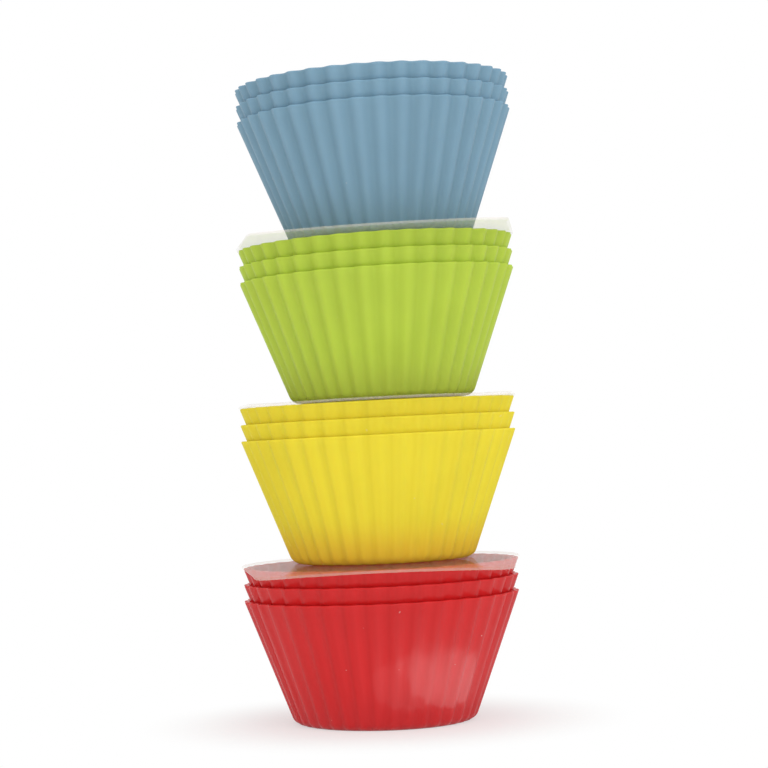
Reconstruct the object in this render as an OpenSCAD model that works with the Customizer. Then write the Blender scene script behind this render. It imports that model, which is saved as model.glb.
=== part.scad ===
// A stack of fluted silicone baking cups: four colours, three nested cups of each colour,
// and a thin clear disc on top of each of the three lower groups, which carries the next and
// has a straight edge in front.
// Every cup is the same moulding. The origin is the centre of the lowest cup's foot.

/* [Cup] */
// Diameter across the flute crests at the rim
rim_d = 70; // [64:0.5:80]
// Diameter at which the crest lines would meet the table
foot_d = 46.0; // [40:0.1:54]
// Height of one cup
cup_h = 31.8; // [26:0.1:40]
// Thickness of the moulded side wall
wall = 1.2; // [0.8:0.1:1.6]
// Thickness of the floor
floor_t = 1.2; // [0.8:0.1:2]
// Radius of the rounding between the floor and the side wall, outside
foot_round = 3; // [2:0.5:4]
// Number of flutes round the wall
flutes = 38; // [24:2:44]
// Depth of a flute at the rim, from crest to valley
flute_depth = 1.2; // [0.6:0.1:1.6]

/* [Nesting] */
// Air between the walls of two nested cups
nest_gap = 0.25; // [0.1:0.05:0.6]

/* [Discs] */
// How far a clear disc reaches past the flute crests of the rim it lies on
disc_reach = 0.3; // [0:0.1:3]
// Thickness of a clear disc
disc_t = 0.6; // [0.4:0.1:3]
// How far a disc's straight front edge stands out in front of the rim
disc_front = 13; // [6:0.5:20]
// Length of that front edge, with its corners
front_w = 61.4; // [44:0.2:64]
// Radius of the two front corners
front_corner = 4; // [2:0.5:8]

/* [Stacking] */
// Sideways place of the yellow group on the disc under it
yellow_shift = 0.8; // [-3:0.1:3]
// Sideways place of the green group on the disc under it
green_shift = 1.5; // [-3:0.1:3]
// Sideways place of the blue group on the disc under it
blue_shift = 1.7; // [-3:0.1:3]
// Lean of the red group's soft rims over its level foot, in degrees, with the right side up
red_lean = 0.7; // [-2:0.1:2]
// Lean of the yellow group's rims over its foot
yellow_lean = 0.4; // [-2:0.1:2]
// Lean of the green group's rims over its foot
green_lean = 0.9; // [-2:0.1:2]
// Lean of the blue group's rims over its foot
blue_lean = -0.2; // [-2:0.1:2]
// Turn of the red group about its own axis
red_turn = -1.5; // [-5:0.5:5]
// Turn of the yellow group about its own axis
yellow_turn = 1; // [-5:0.5:5]
// Turn of the green group about its own axis
green_turn = -2; // [-5:0.5:5]
// Turn of the blue group about its own axis
blue_turn = -3; // [-5:0.5:5]

/* [Hidden] */
$fn = 96;

RED = "#cb3232";
YELLOW = "#e4d637";
GREEN = "#acc63e";
BLUE = "#789eb8";
CLEAR = "#e6ecee80";

// Slope of the side wall from the upright
slope = atan((rim_d - foot_d) / 2 / cup_h);
// The same wall and gap, measured level instead of square to the slope
level_wall = wall / cos(slope);
// How far a cup stands up out of the cup that holds it
nest_pitch = (wall + nest_gap) / sin(slope);
group_h = cup_h + 2 * nest_pitch;
// A flute's depth as a share of the crest radius: flutes fade evenly towards the foot
flute_share = flute_depth / (rim_d / 2);
inner_round = foot_round - wall;
disc_r = rim_d / 2 + disc_reach;
// Flat steps round the back of a disc, and round each of its front corners
disc_steps = 42;
corner_steps = 5;
// Distance of a disc's front edge from the axis
front_y = rim_d / 2 + disc_front;

SHIFT = [0, yellow_shift, green_shift, blue_shift];
LEAN = [red_lean, yellow_lean, green_lean, blue_lean];
TURN = [red_turn, yellow_turn, green_turn, blue_turn];

// Radius of the crest line at height z
function crest_r(z) = foot_d / 2 + z * tan(slope);

// Height of an arc's centre over a floor, and its radius from the axis when the arc also
// touches the wall line that lies inset inside the crest line
function arc_z(floor_z, round) = floor_z + round;
function arc_r(floor_z, round, inset) =
    crest_r(arc_z(floor_z, round)) - inset - round / cos(slope);

// Radius and height on such an arc, with angle measured down from level
function on_arc(floor_z, round, inset, angle) = [
    arc_r(floor_z, round, inset) + round * cos(angle),
    arc_z(floor_z, round) - round * sin(angle)
];

// The cup's section: radius and height of the crest line's corners, from the foot up the
// outside to the rim and down the inside to the floor
foot_edge = on_arc(0, foot_round, 0, 90);
foot_arc = on_arc(0, foot_round, 0, (90 + slope) / 2);
wall_start = on_arc(0, foot_round, 0, slope);
rim_outside = [rim_d / 2, cup_h];
rim_inside = [rim_d / 2 - level_wall, cup_h];
wall_end = on_arc(floor_t, inner_round, level_wall, slope);
floor_edge = on_arc(floor_t, inner_round, level_wall, 90);

FLUTED = [foot_arc, wall_start, rim_outside, rim_inside, wall_end];

// A disc's side runs straight from its round part to the front corner and touches both arcs,
// so it stands square to the direction side_turn, seen from either arc's centre
corner_x = front_w / 2 - front_corner;
corner_y = front_corner - front_y;
side_turn = atan2(corner_y, corner_x) + acos((disc_r - front_corner) / norm([corner_x, corner_y]));

// A point of a cup at radius r, height z and an angle round the axis. A cup that leans rises
// towards its right in proportion to z, so its foot stays level and its rim has the whole lean.
function soft_point(r, z, angle, lean) =
    let (x = r * cos(angle))
    [x, r * sin(angle), z * (1 + x * tan(lean) / cup_h)];

// A ring of points: crests and valleys by turns, each valley a flute's depth nearer the axis
function fluted_ring(corner, turn, lean) = [
    for (i = [0 : 2 * flutes - 1])
        let (depth = i % 2 == 0 ? 0 : flute_share * crest_r(corner[1]))
        soft_point(corner[0] - depth, corner[1], turn + i * 180 / flutes, lean)
];

// A plain ring with one point under each crest
function plain_ring(corner, turn, lean) = [
    for (i = [0 : flutes - 1])
        soft_point(corner[0], corner[1], turn + i * 360 / flutes, lean)
];

// Two triangles for each step between two fluted rings that start at points a and b
function band(a, b) = [
    for (i = [0 : 2 * flutes - 1])
        let (next = (i + 1) % (2 * flutes))
        each [[a + i, b + i, a + next], [a + next, b + i, b + next]]
];

// Three triangles for each flute between a plain ring at p and a fluted ring at f.
// With inward true the plain ring is the later one, and the triangles turn the other way.
function flute_end(p, f, inward) = [
    for (i = [0 : flutes - 1])
        let (
            next = (i + 1) % flutes,
            crest = f + 2 * i,
            valley = crest + 1,
            after = f + 2 * next,
            fan = [
                [p + i, crest, valley], [p + i, valley, p + next], [p + next, valley, after]
            ]
        )
        each inward ? [for (t = fan) [t[2], t[1], t[0]]] : fan
];

// One moulded cup: a plain foot ring, the fluted rings up the outside and down the inside,
// and a plain ring at the floor's edge
module cup_moulding(turn, lean) {
    points = concat(
        plain_ring(foot_edge, turn, lean),
        [for (corner = FLUTED) each fluted_ring(corner, turn, lean)],
        plain_ring(floor_edge, turn, lean)
    );
    first = flutes;
    last = flutes + 2 * flutes * (len(FLUTED) - 1);
    inside = last + 2 * flutes;
    faces = concat(
        [[for (i = [0 : flutes - 1]) i]],
        flute_end(0, first, false),
        [for (k = [0 : len(FLUTED) - 2])
            each band(first + 2 * flutes * k, first + 2 * flutes * (k + 1))],
        flute_end(inside, last, true),
        [[for (i = [0 : flutes - 1]) inside + flutes - 1 - i]]
    );
    polyhedron(points, faces, convexity = 8);
}

// Puts its children on the top rim of a group, square to the rim's own lean
module on_rim(level) {
    on_level(level)
        translate([0, 0, group_h])
        rotate([0, -LEAN[level], 0])
        children();
}

// Puts its children where a group stands: on the table, or on the disc that lies on the rim of
// the group below, shifted sideways
module on_level(level) {
    if (level == 0) {
        children();
    } else {
        on_rim(level - 1)
            translate([SHIFT[level], 0, disc_t])
            children();
    }
}

// A cup of a group: nest 0 stands on the disc or table, 1 sits in it and 2 sits in that one
module nested_cup(level, nest) {
    on_level(level)
        translate([0, 0, nest * nest_pitch])
        cup_moulding(TURN[level], LEAN[level]);
}

// Points along an arc, with both ends
function arc_points(centre, r, from, to, steps) = [
    for (i = [0 : steps])
        let (angle = from + (to - from) * i / steps)
        centre + r * [cos(angle), sin(angle)]
];

// Outline of a disc: round behind, with straight sides that draw in to a straight front edge
module disc_outline() {
    polygon(concat(
        arc_points([0, 0], disc_r, side_turn, 180 - side_turn, disc_steps),
        arc_points([-corner_x, corner_y], front_corner, 180 - side_turn, 270, corner_steps),
        arc_points([corner_x, corner_y], front_corner, 270, 360 + side_turn, corner_steps)
    ));
}

// A clear disc lying on the top rim of a group
module disc_on(level) {
    on_rim(level)
        linear_extrude(disc_t)
        disc_outline();
}

module red_outer_cup() { color(RED) nested_cup(0, 0); }
module red_middle_cup() { color(RED) nested_cup(0, 1); }
module red_inner_cup() { color(RED) nested_cup(0, 2); }
module lower_disc() { color(CLEAR) disc_on(0); }
module yellow_outer_cup() { color(YELLOW) nested_cup(1, 0); }
module yellow_middle_cup() { color(YELLOW) nested_cup(1, 1); }
module yellow_inner_cup() { color(YELLOW) nested_cup(1, 2); }
module middle_disc() { color(CLEAR) disc_on(1); }
module green_outer_cup() { color(GREEN) nested_cup(2, 0); }
module green_middle_cup() { color(GREEN) nested_cup(2, 1); }
module green_inner_cup() { color(GREEN) nested_cup(2, 2); }
module upper_disc() { color(CLEAR) disc_on(2); }
module blue_outer_cup() { color(BLUE) nested_cup(3, 0); }
module blue_middle_cup() { color(BLUE) nested_cup(3, 1); }
module blue_inner_cup() { color(BLUE) nested_cup(3, 2); }

red_outer_cup();
red_middle_cup();
red_inner_cup();
lower_disc();
yellow_outer_cup();
yellow_middle_cup();
yellow_inner_cup();
middle_disc();
green_outer_cup();
green_middle_cup();
green_inner_cup();
upper_disc();
blue_outer_cup();
blue_middle_cup();
blue_inner_cup();
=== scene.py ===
"""Looks of a stack of fluted silicone baking cups.

Twelve cups of one moulding stand in four colour groups of three nested cups each. A thin clear
disc with a straight front edge lies on the rim of each of the three lower groups and carries the
next group. Every piece is a surface worked out with numpy on a grid, in metres, in the same frame
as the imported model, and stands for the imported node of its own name.
"""

import logging
import math
from dataclasses import dataclass, field
from enum import Enum

import bpy
import numpy as np
from mathutils import Matrix, Vector


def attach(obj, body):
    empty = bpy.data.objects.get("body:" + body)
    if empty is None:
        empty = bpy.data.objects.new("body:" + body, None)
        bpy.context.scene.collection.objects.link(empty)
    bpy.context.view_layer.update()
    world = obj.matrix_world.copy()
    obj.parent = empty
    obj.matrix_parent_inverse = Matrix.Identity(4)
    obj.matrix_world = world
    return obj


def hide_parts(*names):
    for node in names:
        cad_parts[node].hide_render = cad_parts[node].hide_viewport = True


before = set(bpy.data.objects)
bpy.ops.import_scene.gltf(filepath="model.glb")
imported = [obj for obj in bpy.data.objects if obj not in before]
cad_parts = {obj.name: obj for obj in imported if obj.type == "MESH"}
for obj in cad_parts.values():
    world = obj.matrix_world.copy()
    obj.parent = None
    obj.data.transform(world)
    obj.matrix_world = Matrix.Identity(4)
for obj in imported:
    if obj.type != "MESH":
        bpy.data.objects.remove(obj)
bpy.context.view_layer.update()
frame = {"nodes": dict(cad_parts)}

LOG = logging.getLogger("baking_cups")
IMAGE_SIDE = 768
SENSOR_MM = 36.0
BODY = "root"

Rgb = tuple[float, float, float]
Array = np.ndarray
Output = bpy.types.NodeSocket


# ---- Small helpers -------------------------------------------------------------------------


def linear(red: float, green: float, blue: float) -> Rgb:
    """Turns a display colour into the linear colour that a shader takes.

    Formula: v / 12.92 below 0.04045, else ((v + 0.055) / 1.055) to the power 2.4.

    Args:
        red: Display value from 0 to 255.
        green: Display value from 0 to 255.
        blue: Display value from 0 to 255.

    Returns:
        The three linear values, from 0 to 1.
    """
    shown = np.array([red, green, blue]) / 255.0
    low = shown / 12.92
    high = ((shown + 0.055) / 1.055) ** 2.4
    return tuple(float(v) for v in np.where(shown <= 0.04045, low, high))


def smooth_step(value: Array) -> Array:
    """Eases 0 to 1 with level ends: 3 v squared minus 2 v cubed, with v held to 0 and 1."""
    held = np.clip(value, 0.0, 1.0)
    return held * held * (3.0 - 2.0 * held)


def unit(vector: Array) -> Array:
    """Gives a vector the length 1."""
    return vector / np.linalg.norm(vector)


def shift_matrix(x: float, z: float) -> Array:
    """A 4 by 4 matrix that moves things without turning them.

    Args:
        x: Distance to the right, in metres.
        z: Distance up, in metres.

    Returns:
        The matrix.
    """
    made = np.eye(4)
    made[0, 3], made[2, 3] = x, z
    return made


def lean_matrix(degrees: float) -> Array:
    """A 4 by 4 matrix that lifts the right side, about the front to back axis.

    Args:
        degrees: How far the right side is lifted.

    Returns:
        The matrix.
    """
    angle = math.radians(degrees)
    made = np.eye(4)
    made[0, 0], made[0, 2] = math.cos(angle), -math.sin(angle)
    made[2, 0], made[2, 2] = math.sin(angle), math.cos(angle)
    return made


def rounded_corner(before: Array, corner: Array, after: Array, radius: float, steps: int) -> Array:
    """Points of the arc that rounds one corner of a section.

    Formula: a and b are the unit directions to the points before and after, and h is half the
    angle between them. The arc's centre lies radius / sin h from the corner along a + b, the arc
    touches both sides radius / tan h from the corner, and the points between are swept evenly.

    Args:
        before: Section point before the corner, as radius and height.
        corner: The sharp corner.
        after: Section point after the corner.
        radius: Radius of the rounding.
        steps: Number of spans on the arc.

    Returns:
        An array of steps + 1 points.
    """
    a, b = unit(before - corner), unit(after - corner)
    half = math.acos(float(np.dot(a, b))) / 2
    centre = corner + unit(a + b) * radius / math.sin(half)
    start = corner + a * radius / math.tan(half) - centre
    end = corner + b * radius / math.tan(half) - centre
    sweep = math.pi - 2 * half
    t = np.linspace(0.0, 1.0, steps + 1)[:, None]
    return centre + (np.sin((1 - t) * sweep) * start + np.sin(t * sweep) * end) / math.sin(sweep)


# ---- Sizes ---------------------------------------------------------------------------------


@dataclass(frozen=True)
class CupSizes:
    """The sizes of every cup, the same as in the part's source, in metres."""

    rim_d: float = 0.0700
    foot_d: float = 0.0460
    cup_h: float = 0.0318
    wall: float = 0.0012
    floor_t: float = 0.0012
    foot_round: float = 0.0030
    flutes: int = 38
    flute_depth: float = 0.0012
    nest_gap: float = 0.00025
    rim_round: float = 0.00028

    @property
    def slope(self) -> float:
        """Slope of the side wall from the upright, in radians."""
        return math.atan((self.rim_d - self.foot_d) / 2 / self.cup_h)

    @property
    def level_wall(self) -> float:
        """The side wall's thickness measured level."""
        return self.wall / math.cos(self.slope)

    @property
    def nest_pitch(self) -> float:
        """How far a cup stands up out of the one that holds it."""
        return (self.wall + self.nest_gap) / math.sin(self.slope)

    @property
    def group_h(self) -> float:
        """Height of three nested cups."""
        return self.cup_h + 2 * self.nest_pitch

    @property
    def flute_share(self) -> float:
        """A flute's depth as a share of the crest radius."""
        return self.flute_depth / (self.rim_d / 2)

    def crest_r(self, z: Array | float) -> Array | float:
        """Radius of the crest line at height z."""
        return self.foot_d / 2 + z * math.tan(self.slope)


@dataclass(frozen=True)
class DiscSizes:
    """The sizes of a clear disc, in metres, the same as in the part's source but for three.

    The reach is a hair less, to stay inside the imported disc. The eased edges and the droop of the
    free front corners are only here.
    """

    reach: float = 0.00027
    thickness: float = 0.0006
    front: float = 0.0130
    front_w: float = 0.0614
    front_corner: float = 0.0040
    eased: float = 0.00008
    droop: float = 0.0006


class CupColour(Enum):
    """The silicone colours, from the foot of the stack up."""

    RED = "red"
    YELLOW = "yellow"
    GREEN = "green"
    BLUE = "blue"


class NestPlace(Enum):
    """Where a cup sits in its group, with the number of pitches that it stands up."""

    OUTER = 0
    MIDDLE = 1
    INNER = 2


@dataclass(frozen=True)
class GroupPlace:
    """How one colour group stands: sideways shift in metres, lean and turn in degrees."""

    colour: CupColour
    shift: float
    lean: float
    turn: float


PLACES = (
    GroupPlace(CupColour.RED, 0.0, 0.7, -1.5),
    GroupPlace(CupColour.YELLOW, 0.0008, 0.4, 1.0),
    GroupPlace(CupColour.GREEN, 0.0015, 0.9, -2.0),
    GroupPlace(CupColour.BLUE, 0.0017, -0.2, -3.0),
)


@dataclass(frozen=True)
class StackPlan:
    """Where each group and disc stands, worked out from the table up."""

    cup: CupSizes = CupSizes()
    disc: DiscSizes = DiscSizes()
    places: tuple[GroupPlace, ...] = PLACES

    def rim_frame(self, level: int) -> Array:
        """The frame of a group's top rim, square to the rim's own lean."""
        lift = shift_matrix(0.0, self.cup.group_h)
        return self.foot_frame(level) @ lift @ lean_matrix(self.places[level].lean)

    def foot_frame(self, level: int) -> Array:
        """The frame of a group's foot.

        Args:
            level: 0 for the group on the table, then 1, 2 and 3.

        Returns:
            A 4 by 4 matrix: the rim frame of the group below, moved by the sideways shift and
            up by the disc's thickness, or the row frame itself for the lowest group.
        """
        if level == 0:
            return np.eye(4)
        step = shift_matrix(self.places[level].shift, self.disc.thickness)
        return self.rim_frame(level - 1) @ step


# ---- Finishes ------------------------------------------------------------------------------

# Noise cells in a metre
MOTTLE_CELLS = 55.0
DUST_CELLS = 560.0
SMEAR_CELLS = 110.0
UNEVEN_CELLS = 120.0
GRAIN_CELLS = 3200.0
WOBBLE_CELLS = 95.0
WIPE_CELLS = 70.0
RIPPLE_CELLS = 900.0
# How far the glossy skin evens out the flutes under it
SKIN_BRIDGE = 0.86
DUST = (0.72, 0.66, 0.60)
MOTTLE_GREY = (0.35, 0.35, 0.35)
WIPE_HAZE = (0.64, 0.60, 0.56)


class NodeSketch:
    """A material's node tree, with short calls that add and join nodes."""

    def __init__(self, name: str) -> None:
        """Starts an empty material.

        Args:
            name: The material's name.
        """
        self.material = bpy.data.materials.new(name)
        self.material.use_nodes = True
        self.tree = self.material.node_tree
        self.tree.nodes.clear()

    def add(self, kind: str, **settings: object) -> bpy.types.Node:
        """Adds a node and sets its own properties.

        Args:
            kind: Blender's name for the type of node.
            **settings: Properties of the node, by name.

        Returns:
            The new node.
        """
        node = self.tree.nodes.new(kind)
        for name, value in settings.items():
            setattr(node, name, value)
        return node

    def join(self, source: bpy.types.NodeSocket, target: bpy.types.NodeSocket) -> None:
        """Links an output to an input."""
        self.tree.links.new(source, target)

    def object_noise(self, scale: float, detail: float, stretch: Rgb = (1, 1, 1)) -> Output:
        """Noise on Object coordinates.

        Args:
            scale: Cells in a metre.
            detail: Number of finer layers.
            stretch: Scale along each axis before the noise.

        Returns:
            The noise node's value output.
        """
        coordinates = self.add("ShaderNodeTexCoord")
        mapping = self.add("ShaderNodeMapping")
        mapping.inputs["Scale"].default_value = stretch
        noise = self.add("ShaderNodeTexNoise")
        noise.inputs["Scale"].default_value = scale
        noise.inputs["Detail"].default_value = detail
        self.join(coordinates.outputs["Object"], mapping.inputs["Vector"])
        self.join(mapping.outputs["Vector"], noise.inputs["Vector"])
        return noise.outputs[0]

    def ranged(self, source: Output, low: float, high: float, to_low: float,
               to_high: float) -> Output:
        """Maps a value from one range to another, with smooth ends.

        Args:
            source: Output with the value.
            low: Start of the range that it comes from.
            high: End of that range.
            to_low: Start of the range that it goes to.
            to_high: End of that range.

        Returns:
            The mapped value's output.
        """
        node = self.add("ShaderNodeMapRange", interpolation_type="SMOOTHSTEP")
        for name, value in (("From Min", low), ("From Max", high),
                            ("To Min", to_low), ("To Max", to_high)):
            node.inputs[name].default_value = value
        self.join(source, node.inputs["Value"])
        return node.outputs[0]

    def attribute(self, name: str, output: str = "Fac") -> Output:
        """One of the mesh's own attributes, as a value or, with output Vector, as a vector."""
        return self.add("ShaderNodeAttribute", attribute_name=name).outputs[output]

    def blended(self, factor: Output, first: Output | Rgb, second: Output | Rgb,
                blend: str = "MIX") -> Output:
        """Mixes two colours.

        Args:
            factor: Output that sets the share of the second colour.
            first: A linear colour or an output.
            second: A linear colour or an output.
            blend: Blender's name for the way of mixing.

        Returns:
            The mixed colour's output.
        """
        node = self.add("ShaderNodeMix", data_type="RGBA", blend_type=blend)
        self.join(factor, node.inputs[0])
        for socket, value in ((node.inputs[6], first), (node.inputs[7], second)):
            if isinstance(value, Output):
                self.join(value, socket)
            else:
                socket.default_value = (*value, 1.0)
        return node.outputs[2]

    def bump(self, height: Output, strength: float, distance: float,
             below: Output | None = None) -> Output:
        """A bump from a height.

        Args:
            height: Output with the height.
            strength: Share of the bump that shows.
            distance: Height of the bump in metres.
            below: Another bump's or attribute's direction, which this one starts from.

        Returns:
            The output with the bumped direction.
        """
        node = self.add("ShaderNodeBump")
        node.inputs["Strength"].default_value = strength
        node.inputs["Distance"].default_value = distance
        self.join(height, node.inputs["Height"])
        if below is not None:
            self.join(below, node.inputs["Normal"])
        return node.outputs["Normal"]

    def finish(self, shader: Output) -> bpy.types.Material:
        """Joins the last shader to the material's output.

        Args:
            shader: The shader's output.

        Returns:
            The finished material.
        """
        output = self.add("ShaderNodeOutputMaterial")
        self.join(shader, output.inputs["Surface"])
        return self.material


@dataclass(frozen=True)
class SiliconeFinish:
    """Moulded silicone rubber: soft sheen, painted light and shade on the ridges and valleys,
    and painted bounce light and shade on the foot.

    Mottle, grain and dust are strengths from 0 to 1, and skin is the weight of the glossy coat.
    """

    name: str
    # crest and valley carry painted light and shade across the flutes; foot carries painted bounce
    # light and shade low on the cup
    crest: Rgb
    valley: Rgb
    foot: Rgb
    foot_reach: float = 0.35
    roughness: tuple[float, float] = (0.42, 0.56)
    specular: float = 0.4
    subsurface: float = 0.25
    scatter: Rgb = (1.0, 0.6, 0.4)
    mottle: float = 0.08
    grain: float = 0.10
    dust: float = 0.2
    skin: float = 0.0

    def material(self) -> bpy.types.Material:
        """Builds the node material.

        Returns:
            A material that reads the cup's own crest and rise attributes for painted light and shade
            between ridges and valleys and for painted bounce light and shade on the foot, and Object
            coordinates for mottling, roughness and grain.
        """
        sketch = NodeSketch(self.name)
        # Painted light and shade across the flutes: lighter ridges on blue and green, and lighter
        # valleys on red and yellow that offset the flutes' own shading
        ridge = sketch.ranged(sketch.attribute("crest"), 0.1, 0.9, 0.0, 1.0)
        fluted = sketch.blended(ridge, self.valley, self.crest)
        # Painted bounce light and shade low on the cup: orange light bounced from red on yellow,
        # slight painted shade on the others
        low = sketch.ranged(sketch.attribute("rise"), 0.0, self.foot_reach, 1.0, 0.0)
        foot_bounce_and_shade = sketch.blended(low, fluted, self.foot)
        cloud = sketch.object_noise(MOTTLE_CELLS, 4.0)
        shade = sketch.ranged(cloud, 0.35, 0.7, 0.0, self.mottle)
        mottled = sketch.blended(shade, foot_bounce_and_shade, MOTTLE_GREY, "MULTIPLY")
        speck = sketch.ranged(sketch.object_noise(DUST_CELLS, 1.0), 0.80, 0.82, 0.0, self.dust)
        dusty = sketch.blended(speck, mottled, DUST)
        shader = sketch.add("ShaderNodeBsdfPrincipled")
        sketch.join(dusty, shader.inputs["Base Color"])
        smear = sketch.object_noise(SMEAR_CELLS, 4.0, (1.0, 1.0, 0.6))
        sketch.join(sketch.ranged(smear, 0.3, 0.7, *self.roughness), shader.inputs["Roughness"])
        soft = sketch.bump(sketch.object_noise(UNEVEN_CELLS, 2.0), 0.15, 0.00012)
        fine = sketch.bump(sketch.object_noise(GRAIN_CELLS, 3.0), self.grain, 0.00004, soft)
        sketch.join(fine, shader.inputs["Normal"])
        self.gloss(sketch, shader, fine)
        shader.inputs["IOR"].default_value = 1.41
        shader.inputs["Specular IOR Level"].default_value = self.specular
        shader.inputs["Subsurface Weight"].default_value = self.subsurface
        shader.inputs["Subsurface Radius"].default_value = self.scatter
        shader.inputs["Subsurface Scale"].default_value = 0.0012
        return sketch.finish(shader.outputs["BSDF"])

    def gloss(self, sketch: NodeSketch, shader: bpy.types.Node, bumped: Output) -> None:
        """Adds the shiny skin of the moulding, which bridges the shallow flutes.

        Args:
            sketch: The material's tree.
            shader: Its main shader.
            bumped: Output with the fluted and grained direction of the surface.
        """
        mix = sketch.add("ShaderNodeMix", data_type="VECTOR")
        mix.inputs[0].default_value = SKIN_BRIDGE
        sketch.join(bumped, mix.inputs[4])
        even = sketch.attribute("even", "Vector")
        wobble = sketch.bump(sketch.object_noise(WOBBLE_CELLS, 3.0), 0.5, 0.0006, even)
        sketch.join(wobble, mix.inputs[5])
        sketch.join(mix.outputs[1], shader.inputs["Coat Normal"])
        shader.inputs["Coat Weight"].default_value = self.skin
        shader.inputs["Coat Roughness"].default_value = 0.2
        shader.inputs["Coat IOR"].default_value = 1.45


@dataclass(frozen=True)
class ClearSheetFinish:
    """Clear plastic sheet: glossy, mostly see-through, with faint wipe marks and a warm
    painted reflection in its base colour.
    """

    name: str
    painted_reflection_tint: Rgb
    alpha: float = 0.21

    def material(self) -> bpy.types.Material:
        """Builds the node material.

        Returns:
            A glossy see-through material whose warm base colour is a painted reflection, and whose
            colour and roughness vary with soft wipe marks on Object coordinates.
        """
        sketch = NodeSketch(self.name)
        shader = sketch.add("ShaderNodeBsdfPrincipled")
        wipe = sketch.object_noise(WIPE_CELLS, 4.0, (1.0, 2.5, 1.0))
        marks = sketch.ranged(wipe, 0.3, 0.75, 0.0, 0.35)
        # Base colour: a warm painted reflection tint, hazed by the wipe marks
        reflection_tint_and_wipes = sketch.blended(marks, self.painted_reflection_tint, WIPE_HAZE)
        sketch.join(reflection_tint_and_wipes, shader.inputs["Base Color"])
        sketch.join(sketch.ranged(wipe, 0.35, 0.75, 0.02, 0.06), shader.inputs["Roughness"])
        ripple = sketch.bump(sketch.object_noise(RIPPLE_CELLS, 3.0), 0.05, 0.00002)
        sketch.join(ripple, shader.inputs["Normal"])
        shader.inputs["IOR"].default_value = 1.49
        shader.inputs["Alpha"].default_value = self.alpha
        return sketch.finish(shader.outputs["BSDF"])


# Crest and valley colours are painted light and shade across the flutes. Foot colours are painted
# shade, and on yellow a painted orange bounce light from the red cups below
SILICONE = {
    CupColour.RED: SiliconeFinish(
        "red_silicone", crest=linear(201, 28, 30), valley=linear(210, 34, 36),
        foot=linear(196, 34, 37), foot_reach=0.5, roughness=(0.46, 0.56), specular=0.12,
        subsurface=0.35, scatter=(1.0, 0.25, 0.2), dust=0.45, skin=0.5),
    CupColour.YELLOW: SiliconeFinish(
        "yellow_silicone", crest=linear(229, 212, 59), valley=linear(233, 217, 62),
        foot=linear(232, 194, 60), foot_reach=0.4, roughness=(0.5, 0.62), specular=0.16,
        subsurface=0.4, scatter=(1.0, 0.8, 0.3)),
    CupColour.GREEN: SiliconeFinish(
        "green_silicone", crest=linear(181, 204, 68), valley=linear(176, 199, 65),
        foot=linear(179, 198, 74), foot_reach=0.4, scatter=(0.7, 1.0, 0.3)),
    CupColour.BLUE: SiliconeFinish(
        "blue_silicone", crest=linear(122, 157, 178), valley=linear(116, 151, 171),
        foot=linear(117, 150, 167), foot_reach=0.4, scatter=(0.5, 0.8, 1.0)),
}
# The warm tint is a painted reflection, not the colour of the clear plastic
CLEAR_SHEET = ClearSheetFinish("clear_sheet", painted_reflection_tint=(0.88, 0.78, 0.68))


# ---- Pieces --------------------------------------------------------------------------------


@dataclass
class TurnedPiece:
    """A closed skin carried once round an upright axis, with a pole at each end.

    Its rows follow the section from the middle of the underside out, up, in and back to the
    middle of the upper side. Its columns go round the axis.
    """

    name: str
    frame: Array
    columns: int

    def surface(self) -> tuple[Array, dict[str, Array]]:
        """The grid of points and the attributes of each point."""
        raise NotImplementedError

    def poles(self) -> Array:
        """The two middle points, lower and upper, in the piece's own frame."""
        raise NotImplementedError

    def faces(self, rows: int) -> list[list[int]]:
        """The faces of the grid and of its two closing fans, all turned outwards.

        Args:
            rows: Number of rows of the grid.

        Returns:
            Lists of point numbers. The poles have the two numbers after the grid's.
        """
        here = np.arange(self.columns)
        after = (here + 1) % self.columns
        start = (np.arange(rows - 1) * self.columns)[:, None]
        quads = np.stack([start + here, start + after, start + self.columns + after,
                          start + self.columns + here], axis=-1).reshape(-1, 4)
        low, high = rows * self.columns, rows * self.columns + 1
        last = (rows - 1) * self.columns
        under = np.stack([np.full(self.columns, low), after, here], axis=-1)
        over = np.stack([last + here, last + after, np.full(self.columns, high)], axis=-1)
        return quads.tolist() + under.tolist() + over.tolist()

    def build(self) -> bpy.types.Object:
        """Makes the mesh object.

        Returns:
            An object at the origin, with its place in its mesh and smooth shading.
        """
        grid, extras = self.surface()
        points = np.vstack([grid.reshape(-1, 3), self.poles()])
        placed = points @ self.frame[:3, :3].T + self.frame[:3, 3]
        mesh = bpy.data.meshes.new(self.name)
        mesh.from_pydata(placed.tolist(), [], self.faces(grid.shape[0]))
        mesh.polygons.foreach_set("use_smooth", np.ones(len(mesh.polygons), bool))
        for label, values in extras.items():
            ends = [values[0].mean(axis=0), values[-1].mean(axis=0)]
            if values.ndim == 3:
                layer = mesh.attributes.new(label, "FLOAT_VECTOR", "POINT")
                turned = np.vstack([values.reshape(-1, 3), ends]) @ self.frame[:3, :3].T
                layer.data.foreach_set("vector", turned.ravel().astype(np.float32))
            else:
                layer = mesh.attributes.new(label, "FLOAT", "POINT")
                layer.data.foreach_set("value", np.append(values.ravel(), ends).astype(np.float32))
        mesh.update()
        made = bpy.data.objects.new(self.name + "_piece", mesh)
        bpy.context.scene.collection.objects.link(made)
        return made

    def dress(self, piece: bpy.types.Object, material: bpy.types.Material, slot: str) -> None:
        """Gives a built piece its finish and its place in the frame.

        Args:
            piece: The built object.
            material: Its finish.
            slot: The record's material slot. Not used.
        """
        piece.data.materials.append(material)
        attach(piece, BODY)
        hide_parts(self.name)
        LOG.info("%s: %d faces", piece.name, len(piece.data.polygons))


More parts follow.
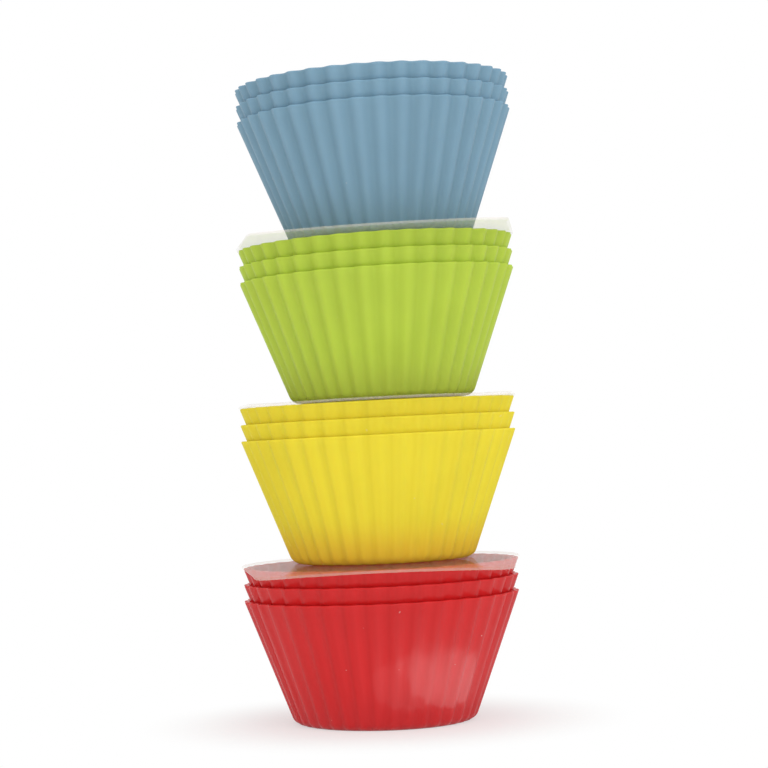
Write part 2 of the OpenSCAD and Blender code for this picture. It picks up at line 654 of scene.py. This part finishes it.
@dataclass
class FlutedCup(TurnedPiece):
    """One moulded cup with rounded flutes, a rounded foot and a softly rounded rim."""

    sizes: CupSizes = CupSizes()
    nest: int = 0
    lean: float = 0.0
    turn: float = 0.0
    wall_steps: int = 9
    columns: int = field(default=0)

    def section(self) -> tuple[Array, Array]:
        """The crest line's section and how strongly it is fluted.

        Returns:
            An array of radius and height pairs, and the flutes' strength at each: 0 on the foot
            and floor, 1 on the walls and rim, eased along the two roundings between them.
        """
        s = self.sizes
        foot_middle, floor_middle = np.array([0.0, 0.0]), np.array([0.0, s.floor_t])
        foot = np.array([s.foot_d / 2, 0.0])
        rim_out = np.array([s.rim_d / 2, s.cup_h])
        rim_in = rim_out - [s.level_wall, 0.0]
        floor = np.array([s.crest_r(s.floor_t) - s.level_wall, s.floor_t])
        foot_arc = rounded_corner(foot_middle, foot, rim_out, s.foot_round, 10)
        out_arc = rounded_corner(foot, rim_out, rim_in, s.rim_round, 4)
        in_arc = rounded_corner(rim_out, rim_in, floor, s.rim_round, 4)
        floor_arc = rounded_corner(rim_in, floor, floor_middle, s.foot_round - s.wall, 8)
        inward = np.array([0.3, 0.6, 0.85])[:, None]
        under = foot_middle + inward * (foot_arc[0] - foot_middle)
        over = floor_middle + inward[::-1] * (floor_arc[-1] - floor_middle)
        up = np.linspace(0.0, 1.0, self.wall_steps + 1)[1:-1, None]
        outside = foot_arc[-1] + up * (out_arc[0] - foot_arc[-1])
        inside = in_arc[-1] + up * (floor_arc[0] - in_arc[-1])
        rise = smooth_step(np.linspace(0.0, 1.6, len(foot_arc)))
        fall = smooth_step(np.linspace(1.6, 0.0, len(floor_arc)))
        walls = np.ones(len(outside) + len(out_arc) + len(in_arc) + len(inside))
        line = np.vstack([under, foot_arc, outside, out_arc, in_arc, inside, floor_arc, over])
        strength = np.concatenate([np.zeros(len(under)), rise, walls, fall, np.zeros(len(over))])
        return line, strength

    def surface(self) -> tuple[Array, dict[str, Array]]:
        """The cup's grid of points.

        Formula: at angle t the radius is the section's, less strength times flute share times
        the crest radius at that height times (1 - cos(flutes (t - turn))) / 2. A point's height
        is z (1 + x tan(lean) / cup height), so the foot stays level and the rim has the lean.
        The even direction is the section's own run turned a quarter outwards.

        Returns:
            The grid, rows by columns by 3, and the attributes crest (0 in a valley, 1 on a
            crest), rise (height as a share of the cup's) and even (the direction square to the
            same cup without flutes).
        """
        s = self.sizes
        line, strength = self.section()
        around = np.linspace(0.0, 2 * math.pi, self.columns, endpoint=False)
        angle = around + math.radians(self.turn)
        valley = (1 - np.cos(s.flutes * around)) / 2
        depth = (strength * s.flute_share * s.crest_r(line[:, 1]))[:, None] * valley
        radius = line[:, :1] - depth
        x, y = radius * np.cos(angle), radius * np.sin(angle)
        z = line[:, 1:] * (1 + x * math.tan(math.radians(self.lean)) / s.cup_h)
        crest = 0.5 + (0.5 - valley) * strength[:, None]
        rise = np.repeat(line[:, 1:] / s.cup_h, self.columns, axis=1)
        along = np.gradient(line, axis=0)
        out, up = along[:, 1], -along[:, 0]
        length = np.hypot(out, up)
        outward = (out / length)[:, None]
        upward = np.repeat((up / length)[:, None], self.columns, axis=1)
        even = np.stack([outward * np.cos(angle), outward * np.sin(angle), upward], axis=-1)
        return np.stack([x, y, z + self.nest * s.nest_pitch], axis=-1), {
            "crest": crest, "rise": rise, "even": even}

    def poles(self) -> Array:
        """The middles of the underside and of the floor."""
        up = self.nest * self.sizes.nest_pitch
        return np.array([[0.0, 0.0, up], [0.0, 0.0, up + self.sizes.floor_t]])


@dataclass
class ClearDisc(TurnedPiece):
    """A thin clear disc: round behind, with a straight front edge in front of the rim it lies on."""

    cup: CupSizes = CupSizes()
    sizes: DiscSizes = DiscSizes()
    columns: int = field(default=0)

    def outline(self) -> tuple[Array, Array]:
        """The disc's outline and the level direction square to it, both once round.

        Formula: a side touches the round part, of radius r, and the front corner's arc, of radius
        c round the point q. So both have the same square direction n, where n . q = r - c, at the
        angle atan2(q) + acos((r - c) / |q|). The front edge joins the two corners' arcs.

        Returns:
            Two arrays of x and y, counterclockwise seen from above.
        """
        s = self.sizes
        r, c = self.cup.rim_d / 2 + s.reach, s.front_corner
        right = np.array([s.front_w / 2 - c, c - self.cup.rim_d / 2 - s.front])
        left = right * [-1.0, 1.0]
        turn = math.atan2(right[1], right[0]) + math.acos((r - c) / np.linalg.norm(right))
        arcs = ((np.zeros(2), r, turn, math.pi - turn, 168),
                (left, c, math.pi - turn, 1.5 * math.pi, 10),
                (right, c, 1.5 * math.pi, 2 * math.pi + turn, 10))
        points, squares = [], []
        for (centre, radius, start, end, steps), between in zip(arcs, (12, 24, 12)):
            angle = np.linspace(start, end, steps + 1)
            square = np.stack([np.cos(angle), np.sin(angle)], axis=-1)
            points += [centre + radius * square, np.full((between, 2), np.nan)]
            squares += [square, np.repeat(square[-1:], between, axis=0)]
        line, away = np.vstack(points), np.vstack(squares)
        count = np.arange(len(line))
        known = ~np.isnan(line[:, 0])
        for axis in range(2):
            line[:, axis] = np.interp(count, count[known], line[known, axis], period=len(line))
        return line, away

    def section(self) -> Array:
        """The disc's edge, row by row, from the middle of the underside round to the top.

        Returns:
            Rows of share, inset and height: a row's points are the outline moved in by the inset
            and then drawn towards the middle by the share.
        """
        t, e = self.sizes.thickness, self.sizes.eased
        quarter = np.linspace(0.0, math.pi / 2, 5)
        low = [(1.0, e * (1 - math.sin(a)), e * (1 - math.cos(a))) for a in quarter]
        high = [(1.0, inset, t - height) for _, inset, height in reversed(low)]
        inner = (0.12, 0.3, 0.45, 0.6, 0.72, 0.84, 0.92, 0.98)
        under = [(share, e, 0.0) for share in inner]
        over = [(share, e, t) for share in reversed(inner)]
        return np.array(under + low + high + over)

    def surface(self) -> tuple[Array, dict[str, Array]]:
        """The disc's grid of points.

        Formula: a point sinks by droop times u squared times v squared. There u is how far it is
        past the rim's front, as a share of the way to the front edge, and v is how far it is to
        one side, as a share of half the front edge.

        Returns:
            The grid, rows by columns by 3, and no attributes.
        """
        line, away = self.outline()
        rows = self.section()
        flat = rows[:, None, :1] * (line - rows[:, None, 1:2] * away)
        x, y = flat[..., 0], flat[..., 1]
        free = np.clip((-y - self.cup.rim_d / 2) / self.sizes.front, 0.0, 1.0)
        aside = x / (self.sizes.front_w / 2)
        z = rows[:, 2:] - self.sizes.droop * free**2 * aside**2
        return np.stack([x, y, z], axis=-1), {}

    def poles(self) -> Array:
        """The middles of the underside and of the top."""
        return np.array([[0.0, 0.0, 0.0], [0.0, 0.0, self.sizes.thickness]])


# ---- Sub-assemblies ------------------------------------------------------------------------


@dataclass
class CupGroup:
    """Three nested cups of one colour."""

    plan: StackPlan
    level: int
    points_per_flute: int = 12

    def build(self) -> None:
        """Builds and dresses the three cups, from the outer one to the inner one."""
        place = self.plan.places[self.level]
        finish = SILICONE[place.colour]
        material = finish.material()
        for nest in NestPlace:
            cup = FlutedCup(
                name=f"{place.colour.value}_{nest.name.lower()}_cup",
                frame=self.plan.foot_frame(self.level),
                columns=self.plan.cup.flutes * self.points_per_flute,
                sizes=self.plan.cup, nest=nest.value, lean=place.lean, turn=place.turn)
            cup.dress(cup.build(), material, finish.name)


@dataclass
class DiscSet:
    """The three clear discs between the groups."""

    plan: StackPlan
    names: tuple[str, ...] = ("lower_disc", "middle_disc", "upper_disc")

    def build(self) -> None:
        """Builds and dresses the discs, from the lowest one up."""
        material = CLEAR_SHEET.material()
        for level, name in enumerate(self.names):
            disc = ClearDisc(name=name, frame=self.plan.rim_frame(level), cup=self.plan.cup,
                             sizes=self.plan.disc)
            disc.columns = len(disc.outline()[0])
            disc.dress(disc.build(), material, CLEAR_SHEET.name)


# ---- Camera, light and floor ---------------------------------------------------------------


@dataclass(frozen=True)
class PhotoCamera:
    """The camera at the photograph's viewing angle, level with the yellow group's upper part."""

    place: tuple[float, float, float] = (-0.012, -0.572, 0.070687)
    focal_px: float = 2246.82
    yaw: float = 1.426
    pitch: float = 1.460
    roll: float = 1.809

    def axes(self) -> Array:
        """The camera's own axes in the row frame.

        Formula: with yaw w, pitch a and roll r, forward is (sin w cos a, cos w cos a, sin a),
        right is (cos w, -sin w, 0) and up is their cross product. The camera's X is
        right cos r - up sin r, its Y is right sin r + up cos r and its Z is minus forward.

        Returns:
            A 3 by 3 array with the axes as columns.
        """
        w, a, r = (math.radians(v) for v in (self.yaw, self.pitch, self.roll))
        forward = np.array([math.sin(w) * math.cos(a), math.cos(w) * math.cos(a), math.sin(a)])
        right = np.array([math.cos(w), -math.sin(w), 0.0])
        up = np.cross(right, forward)
        x = right * math.cos(r) - up * math.sin(r)
        y = right * math.sin(r) + up * math.cos(r)
        return np.stack([x, y, -forward], axis=1)

    def build(self) -> bpy.types.Object:
        """Makes the camera and sets it as the scene's.

        Returns:
            The camera object.
        """
        data = bpy.data.cameras.new("photo_camera")
        data.sensor_width = SENSOR_MM
        data.lens = self.focal_px * SENSOR_MM / IMAGE_SIDE
        data.clip_start, data.clip_end = 0.02, 50.0
        camera = bpy.data.objects.new("photo_camera", data)
        turned = Matrix(self.axes().tolist()).to_4x4()
        camera.matrix_world = Matrix.Translation(self.place) @ turned
        bpy.context.scene.collection.objects.link(camera)
        bpy.context.scene.camera = camera
        return camera


class LampOutline(Enum):
    """Blender's names for the outline of a soft light."""

    RECTANGLE = "RECTANGLE"
    ELLIPSE = "ELLIPSE"


@dataclass(frozen=True)
class SoftBox:
    """A soft studio light that faces a point, turned by spin degrees about its own axis."""

    name: str
    place: tuple[float, float, float]
    target: tuple[float, float, float]
    size: tuple[float, float]
    watts: float
    colour: Rgb = (1.0, 1.0, 1.0)
    outline: LampOutline = LampOutline.RECTANGLE
    spin: float = 0.0
    gloss_only: bool = False

    def build(self) -> bpy.types.Object:
        """Makes the light, hidden from the camera itself, and from matt surfaces if gloss_only.

        Returns:
            The lamp object.
        """
        data = bpy.data.lights.new(self.name, "AREA")
        data.shape = self.outline.value
        data.size, data.size_y = self.size
        data.energy = self.watts
        data.color = self.colour
        lamp = bpy.data.objects.new(self.name, data)
        lamp.location = self.place
        aim = (Vector(self.target) - Vector(self.place)).to_track_quat("-Z", "Y").to_matrix()
        lamp.rotation_euler = (aim @ Matrix.Rotation(math.radians(self.spin), 3, "Z")).to_euler()
        lamp.visible_camera = False
        lamp.visible_diffuse = not self.gloss_only
        bpy.context.scene.collection.objects.link(lamp)
        return lamp


@dataclass(frozen=True)
class Studio:
    """Plain pale floor, white background and soft light."""

    ambient: float = 0.90
    floor_half: float = 4.0
    floor_colour: Rgb = (0.86, 0.86, 0.86)
    shown_white: tuple[float, float] = (0.5, 1.0)
    white_from: tuple[float, float] = (0.028, 0.065)
    # The two glows lie just above the floor and show only as a gleam low on the glossy red cups
    lights: tuple[SoftBox, ...] = (
        SoftBox("key_light", (0.45, -1.15, 0.55), (0.0, 0.0, 0.09), (1.1, 1.1), 5.6),
        SoftBox("fill_light", (-0.75, -1.0, 0.35), (0.0, 0.0, 0.07), (0.8, 0.8), 1.4,
                (1.0, 0.94, 0.84)),
        SoftBox("low_glow", (0.029, -0.0255, 0.0012), (0.029, -0.0255, 0.1), (0.052, 0.021), 0.0066,
                outline=LampOutline.ELLIPSE, spin=-45.0, gloss_only=True),
        SoftBox("faint_glow", (0.010, -0.035, 0.0008), (0.010, -0.035, 0.1), (0.036, 0.016), 0.0015,
                outline=LampOutline.ELLIPSE, spin=-15.0, gloss_only=True),
    )

    @staticmethod
    def background_rays(tree: bpy.types.NodeTree) -> bpy.types.NodeSocket:
        """An output that is 1 for rays that show the background as white, else 0.

        Args:
            tree: The node tree that gets the nodes.

        Returns:
            The sum of Light Path's camera, glossy and transmission outputs, held to 1.
        """
        path = tree.nodes.new("ShaderNodeLightPath")
        first = tree.nodes.new("ShaderNodeMath")
        second = tree.nodes.new("ShaderNodeMath")
        first.operation = second.operation = "ADD"
        second.use_clamp = True
        tree.links.new(path.outputs["Is Camera Ray"], first.inputs[0])
        tree.links.new(path.outputs["Is Glossy Ray"], first.inputs[1])
        tree.links.new(first.outputs[0], second.inputs[0])
        tree.links.new(path.outputs["Is Transmission Ray"], second.inputs[1])
        return second.outputs[0]

    def world(self) -> None:
        """Lights the scene evenly and shows plain white behind it."""
        made = bpy.data.worlds.new("studio_white")
        made.use_nodes = True
        tree = made.node_tree
        tree.nodes.clear()
        dim, white = (tree.nodes.new("ShaderNodeBackground") for _ in range(2))
        dim.inputs["Strength"].default_value = self.ambient
        for shade in (dim, white):
            shade.inputs["Color"].default_value = (1.0, 1.0, 1.0, 1.0)
        mix = tree.nodes.new("ShaderNodeMixShader")
        output = tree.nodes.new("ShaderNodeOutputWorld")
        tree.links.new(self.background_rays(tree), mix.inputs[0])
        tree.links.new(dim.outputs[0], mix.inputs[1])
        tree.links.new(white.outputs[0], mix.inputs[2])
        tree.links.new(mix.outputs[0], output.inputs["Surface"])
        bpy.context.scene.world = made

    def floor_material(self) -> bpy.types.Material:
        """A pale matt floor, white to the camera apart from the shadow close round the foot.

        Returns:
            The floor's material.
        """
        sketch = NodeSketch("pale_floor")
        matt = sketch.add("ShaderNodeBsdfDiffuse")
        matt.inputs["Color"].default_value = (*self.floor_colour, 1.0)
        white = sketch.add("ShaderNodeEmission")
        shown = sketch.add("ShaderNodeMixShader")
        away = sketch.add("ShaderNodeVectorMath", operation="LENGTH")
        sketch.join(sketch.add("ShaderNodeTexCoord").outputs["Object"], away.inputs[0])
        sketch.join(sketch.ranged(away.outputs["Value"], *self.white_from, *self.shown_white),
                    shown.inputs[0])
        sketch.join(matt.outputs[0], shown.inputs[1])
        sketch.join(white.outputs[0], shown.inputs[2])
        mix = sketch.add("ShaderNodeMixShader")
        sketch.join(self.background_rays(sketch.tree), mix.inputs[0])
        sketch.join(matt.outputs[0], mix.inputs[1])
        sketch.join(shown.outputs[0], mix.inputs[2])
        return sketch.finish(mix.outputs[0])

    def floor(self) -> bpy.types.Object:
        """Makes the floor under the lowest foot.

        Returns:
            The floor object.
        """
        h = self.floor_half
        mesh = bpy.data.meshes.new("floor")
        mesh.from_pydata([(-h, -h, 0), (h, -h, 0), (h, h, 0), (-h, h, 0)], [], [(0, 1, 2, 3)])
        mesh.materials.append(self.floor_material())
        made = bpy.data.objects.new("floor", mesh)
        bpy.context.scene.collection.objects.link(made)
        return made

    def build(self) -> None:
        """Makes the background, the floor and the lights, and the plain view transform."""
        self.world()
        self.floor()
        for light in self.lights:
            light.build()
        bpy.context.scene.view_settings.view_transform = "Standard"


def main() -> None:
    """Builds the studio, the camera, the four cup groups and the three discs."""
    logging.basicConfig(level=logging.INFO, format="%(name)s %(message)s")
    Studio().build()
    PhotoCamera().build()
    plan = StackPlan()
    for level in range(len(plan.places)):
        CupGroup(plan, level).build()
    DiscSet(plan).build()
    bpy.context.view_layer.update()


if __name__ == "__main__":
    main()
